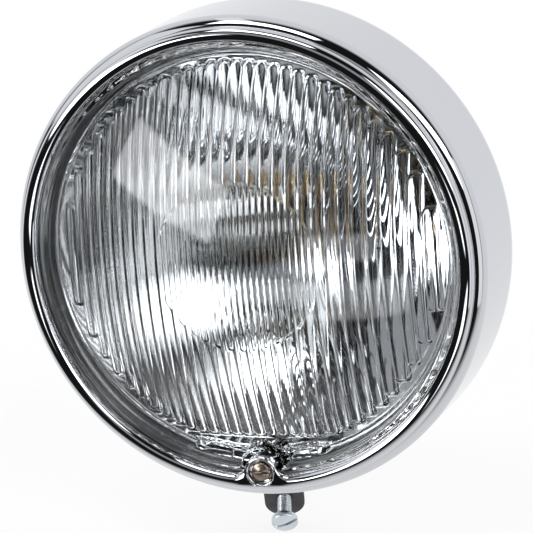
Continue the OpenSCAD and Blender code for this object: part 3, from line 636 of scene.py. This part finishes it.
def material(name, colour, metallic=0.0, roughness=0.4, vary=0.06, scale=60.0, bump=0.0, bump_scale=300.0,
             transmission=0.0, ior=1.45, tint=0.06):
    """Colour and roughness vary with one noise, by tint and vary, and a finer noise gives the bump."""
    m = bpy.data.materials.new(name)
    m.use_nodes = True
    t = m.node_tree
    t.nodes.clear()
    out = t.nodes.new("ShaderNodeOutputMaterial")
    b = t.nodes.new("ShaderNodeBsdfPrincipled")
    t.links.new(b.outputs[0], out.inputs[0])
    b.inputs["Metallic"].default_value = metallic
    b.inputs["IOR"].default_value = ior
    b.inputs["Transmission Weight"].default_value = transmission
    co = t.nodes.new("ShaderNodeTexCoord")
    n = t.nodes.new("ShaderNodeTexNoise")
    n.inputs["Scale"].default_value = scale
    n.inputs["Detail"].default_value = 4
    t.links.new(co.outputs["Object"], n.inputs["Vector"])
    r = t.nodes.new("ShaderNodeMapRange")
    r.inputs["To Min"].default_value = max(0.0, roughness - vary)
    r.inputs["To Max"].default_value = roughness + vary
    t.links.new(n.outputs["Fac"], r.inputs["Value"])
    t.links.new(r.outputs["Result"], b.inputs["Roughness"])
    ramp = t.nodes.new("ShaderNodeValToRGB")
    ramp.color_ramp.elements[0].position = 0.3
    ramp.color_ramp.elements[1].position = 0.75
    ramp.color_ramp.elements[0].color = (*[c * (1 - tint) for c in colour], 1)
    ramp.color_ramp.elements[1].color = (*[min(1, c * (1 + tint)) for c in colour], 1)
    t.links.new(n.outputs["Fac"], ramp.inputs["Fac"])
    t.links.new(ramp.outputs["Color"], b.inputs["Base Color"])
    if bump:
        n2 = t.nodes.new("ShaderNodeTexNoise")
        n2.inputs["Scale"].default_value = bump_scale
        n2.inputs["Detail"].default_value = 3
        t.links.new(co.outputs["Object"], n2.inputs["Vector"])
        bn = t.nodes.new("ShaderNodeBump")
        bn.inputs["Strength"].default_value = bump
        bn.inputs["Distance"].default_value = 0.0002
        t.links.new(n2.outputs["Fac"], bn.inputs["Height"])
        t.links.new(bn.outputs[0], b.inputs["Normal"])
    return m


MATS = {
    "rim_chrome": material("rim_chrome", (0.58, 0.59, 0.615), 1, 0.03, 0.012, 25, 0.02, 40, tint=0.015),
    "lens_glass": material("lens_glass", (0.985, 0.995, 0.995), 0, 0.0, 0.0, 40, 0.04, 90, transmission=1, ior=1.5,
                           tint=0.004),
    "mirror": material("mirror", (0.86, 0.87, 0.89), 1, 0.03, 0.02, 45, 0.03, 60, tint=0.02),
    "seal_rubber": material("seal_rubber", (0.11, 0.11, 0.115), 0, 0.6, 0.1, 200, 0.3, 900, tint=0.2),
    "zinc": material("zinc", (0.60, 0.64, 0.68), 1, 0.28, 0.08, 140, 0.12, 700, tint=0.08),
    "dark_steel": material("dark_steel", (0.06, 0.06, 0.065), 0.7, 0.38, 0.1, 120, 0.2, 600, tint=0.2),
    "spring_steel": material("spring_steel", (0.42, 0.43, 0.44), 1, 0.3, 0.08, 160, 0.1, 700, tint=0.1),
    "nickel_screw": material("nickel_screw", (0.26, 0.215, 0.18), 1, 0.25, 0.1, 260, 0.15, 900, tint=0.15),
    "brass": material("brass", (0.56, 0.43, 0.28), 1, 0.25, 0.08, 140, 0.1, 700, tint=0.1),
    "bulb_glass": material("bulb_glass", (0.98, 0.99, 1.0), 0, 0.0, 0.0, 40, 0, 100, transmission=1, ior=1.45,
                           tint=0.004),
    "filament": material("filament", (0.55, 0.54, 0.52), 1, 0.35, 0.08, 300, 0.1, 1200, tint=0.1),
    "black_plastic": material("black_plastic", (0.03, 0.03, 0.03), 0, 0.42, 0.08, 160, 0.15, 800, tint=0.2),
}


# The reflector's flange and skirt, outside the polished bowl
SKIRT_MAT = material("skirt_satin", (0.34, 0.35, 0.37), 1, 0.38, 0.05, 60, 0.03, 200, tint=0.03)
SKIRT_FROM_R, SKIRT_TO_H = 75.7, 30.5


def dress(ob, slot):
    ob.data.materials.clear()
    ob.data.materials.append(MATS[slot])


def dress_pieces(pieces, slot):
    for ob in pieces:
        dress(ob, slot)


for part in frame["record"]["subparts"]:
    dress(NODES[part["node"]], part["material_slot"])
dress_pieces(rim(), "rim_chrome")
dress_pieces(lens(), "lens_glass")
bowl_pieces = reflector()
dress_pieces(bowl_pieces, "mirror")
for ob in bowl_pieces:
    ob.data.materials.append(SKIRT_MAT)
    for f in ob.data.polygons:
        x, y, z = f.center * 1000
        if math.hypot(x, z) > SKIRT_FROM_R and -y < SKIRT_TO_H:
            f.material_index = 1
clamp_screw, aim_screw = screws()
dress_pieces(clamp_screw, "zinc")
dress_pieces(aim_screw, "nickel_screw")
dress_pieces(bracket(), "dark_steel")
dress_pieces([bulb_glass()], "bulb_glass")


# Camera

AZ, EL, ROLL = math.radians(20.6), math.radians(14.0), math.radians(4.4)
toward = Vector((math.sin(AZ) * math.cos(EL), -math.cos(AZ) * math.cos(EL), math.sin(EL)))
right = Vector((math.cos(AZ), math.sin(AZ), 0))
up = toward.cross(right)
cam_right = right * math.cos(ROLL) - up * math.sin(ROLL)
cam_up = right * math.sin(ROLL) + up * math.cos(ROLL)
cam_data = bpy.data.cameras.new("camera")
cam = bpy.data.objects.new("camera", cam_data)
bpy.context.scene.collection.objects.link(cam)
place = Vector((0, -0.036, 0)) + toward * 0.9
cam.matrix_world = Matrix((
    (cam_right.x, cam_up.x, toward.x, place.x),
    (cam_right.y, cam_up.y, toward.y, place.y),
    (cam_right.z, cam_up.z, toward.z, place.z),
    (0, 0, 0, 1)))
cam_data.lens = 177.7
cam_data.sensor_width = 36
cam_data.shift_x = 0.045
cam_data.shift_y = -0.0069
cam_data.clip_start = 0.01
bpy.context.scene.camera = cam


# Studio: the world is painted by direction, with white behind the lamp and soft boxes in a dark room before it

class Tree:
    """Short forms for the nodes that studio and floor need."""

    def __init__(self, tree):
        self.t = tree

    def math(self, op, a, b=None, c=None):
        n = self.t.nodes.new("ShaderNodeMath")
        n.operation = op
        for k, v in enumerate((a, b, c)):
            if v is None:
                continue
            if isinstance(v, (int, float)):
                n.inputs[k].default_value = v
            else:
                self.t.links.new(v, n.inputs[k])
        return n.outputs[0]

    def dot(self, v, d):
        n = self.t.nodes.new("ShaderNodeVectorMath")
        n.operation = "DOT_PRODUCT"
        self.t.links.new(v, n.inputs[0])
        n.inputs[1].default_value = d
        return n.outputs["Value"]

    def ramp(self, v, a, b):
        n = self.t.nodes.new("ShaderNodeMapRange")
        n.interpolation_type = "SMOOTHSTEP"
        self.t.links.new(v, n.inputs["Value"])
        n.inputs["From Min"].default_value = a
        n.inputs["From Max"].default_value = b
        return n.outputs["Result"]


STUDIO_PANELS = [
    # azimuth (0 in front, positive to the right), elevation, half width, half height, roll, strength
    (-80, 72, 0.42, 0.08, 0, 1.2),
    (52, 29, 0.38, 0.20, 32, 4.6),
    (-20, 65, 0.28, 0.15, 0, 5.5),
    (-66, 32, 0.34, 0.34, 0, 1.1),
    (-40, 8.5, 0.33, 0.15, 22, 6.8),
    (77, -3, 0.25, 0.45, 0, 1.2),
    (14, -24, 0.28, 0.10, 0, 2.8),
    (12, -8, 0.18, 0.07, 0, 2.6),
    (-4, 28, 0.45, 0.20, 0, 0.4),
]
PANEL_EDGE, DARK, TINT = 0.02, 0.012, (0.975, 0.985, 1.0)


def panel(t, d, towards, half_w, half_h, roll):
    """Share of a soft box seen along d: a rectangle of half sizes (as tangents) about a direction."""
    f = Vector(towards).normalized()
    r = f.cross(Vector((0, 0, 1))).normalized()
    u = r.cross(f).normalized()
    r, u = r * math.cos(roll) + u * math.sin(roll), u * math.cos(roll) - r * math.sin(roll)
    a = t.dot(d, f)
    safe = t.math("MAXIMUM", a, 0.05)
    x = t.math("ABSOLUTE", t.math("DIVIDE", t.dot(d, r), safe))
    y = t.math("ABSOLUTE", t.math("DIVIDE", t.dot(d, u), safe))
    mx = t.ramp(x, half_w + PANEL_EDGE, half_w - PANEL_EDGE)
    my = t.ramp(y, half_h + PANEL_EDGE, half_h - PANEL_EDGE)
    return t.math("MULTIPLY", t.math("MULTIPLY", mx, my), t.ramp(a, 0.05, 0.15))


def studio():
    """White for the camera; for every other ray white behind the lamp, and dark with the panels before it."""
    w = bpy.data.worlds.new("studio")
    bpy.context.scene.world = w
    w.use_nodes = True
    nt = w.node_tree
    nt.nodes.clear()
    t = Tree(nt)
    co = nt.nodes.new("ShaderNodeTexCoord")
    nrm = nt.nodes.new("ShaderNodeVectorMath")
    nrm.operation = "NORMALIZE"
    nt.links.new(co.outputs["Generated"], nrm.inputs[0])
    d = nrm.outputs[0]
    back = t.ramp(t.dot(d, (0, 1, 0)), -0.1, 0.25)
    above = t.ramp(t.dot(d, (0, 0, 1)), -0.76, -0.56)
    level = t.math("ADD", t.math("MULTIPLY", back, above), DARK)
    for az, el, hw, hh, roll, strength in STUDIO_PANELS:
        az, el = math.radians(az), math.radians(el)
        towards = (math.sin(az) * math.cos(el), -math.cos(az) * math.cos(el), math.sin(el))
        share = panel(t, d, towards, hw, hh, math.radians(roll))
        level = t.math("MAXIMUM", level, t.math("MULTIPLY", share, strength))
    path = nt.nodes.new("ShaderNodeLightPath")
    seen = path.outputs["Is Camera Ray"]
    level = t.math("ADD", t.math("MULTIPLY", level, t.math("SUBTRACT", 1.0, seen)), seen)
    bg = nt.nodes.new("ShaderNodeBackground")
    comb = nt.nodes.new("ShaderNodeCombineColor")
    for k, share in enumerate(TINT):
        tint = t.math("ADD", share, t.math("MULTIPLY", seen, 1 - share))
        nt.links.new(t.math("MULTIPLY", level, tint), comb.inputs[k])
    nt.links.new(comb.outputs[0], bg.inputs["Color"])
    out = nt.nodes.new("ShaderNodeOutputWorld")
    nt.links.new(bg.outputs[0], out.inputs["Surface"])


studio()


def floor():
    """A pale disc under the lamp, which keeps its shadow and fades into the white around it."""
    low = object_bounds()[0][2]
    n, rings, size = 96, 24, 1.6
    verts, faces = [(0, 0, low)], []
    for k in range(1, rings + 1):
        r = size * (k / rings) ** 1.5
        verts += [(r * math.cos(2 * math.pi * i / n), r * math.sin(2 * math.pi * i / n), low) for i in range(n)]
    faces += [(0, 1 + i, 1 + (i + 1) % n) for i in range(n)]
    for k in range(rings - 1):
        a, b = 1 + k * n, 1 + (k + 1) * n
        faces += [(a + i, b + i, b + (i + 1) % n, a + (i + 1) % n) for i in range(n)]
    ob = make("floor", verts, faces, True)
    ob.location.z = -0.0004
    m = bpy.data.materials.new("floor")
    m.use_nodes = True
    nt = m.node_tree
    nt.nodes.clear()
    t = Tree(nt)
    out = nt.nodes.new("ShaderNodeOutputMaterial")
    dif = nt.nodes.new("ShaderNodeBsdfDiffuse")
    dif.inputs["Color"].default_value = (0.9, 0.9, 0.9, 1)
    em = nt.nodes.new("ShaderNodeEmission")
    clear = nt.nodes.new("ShaderNodeBsdfTransparent")
    co = nt.nodes.new("ShaderNodeTexCoord")
    ln = nt.nodes.new("ShaderNodeVectorMath")
    ln.operation = "LENGTH"
    nt.links.new(co.outputs["Object"], ln.inputs[0])
    path = nt.nodes.new("ShaderNodeLightPath")
    bounced = t.math("MAXIMUM", path.outputs["Is Glossy Ray"], path.outputs["Is Transmission Ray"])
    shown = t.math("MAXIMUM", path.outputs["Is Camera Ray"], bounced)
    mix = nt.nodes.new("ShaderNodeMixShader")
    nt.links.new(t.math("MULTIPLY", shown, 0.86), mix.inputs[0])
    nt.links.new(dif.outputs[0], mix.inputs[1])
    nt.links.new(em.outputs[0], mix.inputs[2])
    fade = nt.nodes.new("ShaderNodeMixShader")
    faded = t.ramp(ln.outputs["Value"], 0.16, 0.45)
    # Nothing lies in front of the lamp, so that the bead keeps its dark band
    ahead = t.ramp(t.dot(co.outputs["Object"], (0, -1, 0)), 0.04, 0.12)
    nt.links.new(t.math("MAXIMUM", faded, ahead), fade.inputs[0])
    nt.links.new(mix.outputs[0], fade.inputs[1])
    nt.links.new(clear.outputs[0], fade.inputs[2])
    nt.links.new(fade.outputs[0], out.inputs[0])
    ob.data.materials.append(m)
    ob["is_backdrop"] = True


floor()
bpy.context.scene.view_settings.view_transform = "Standard"
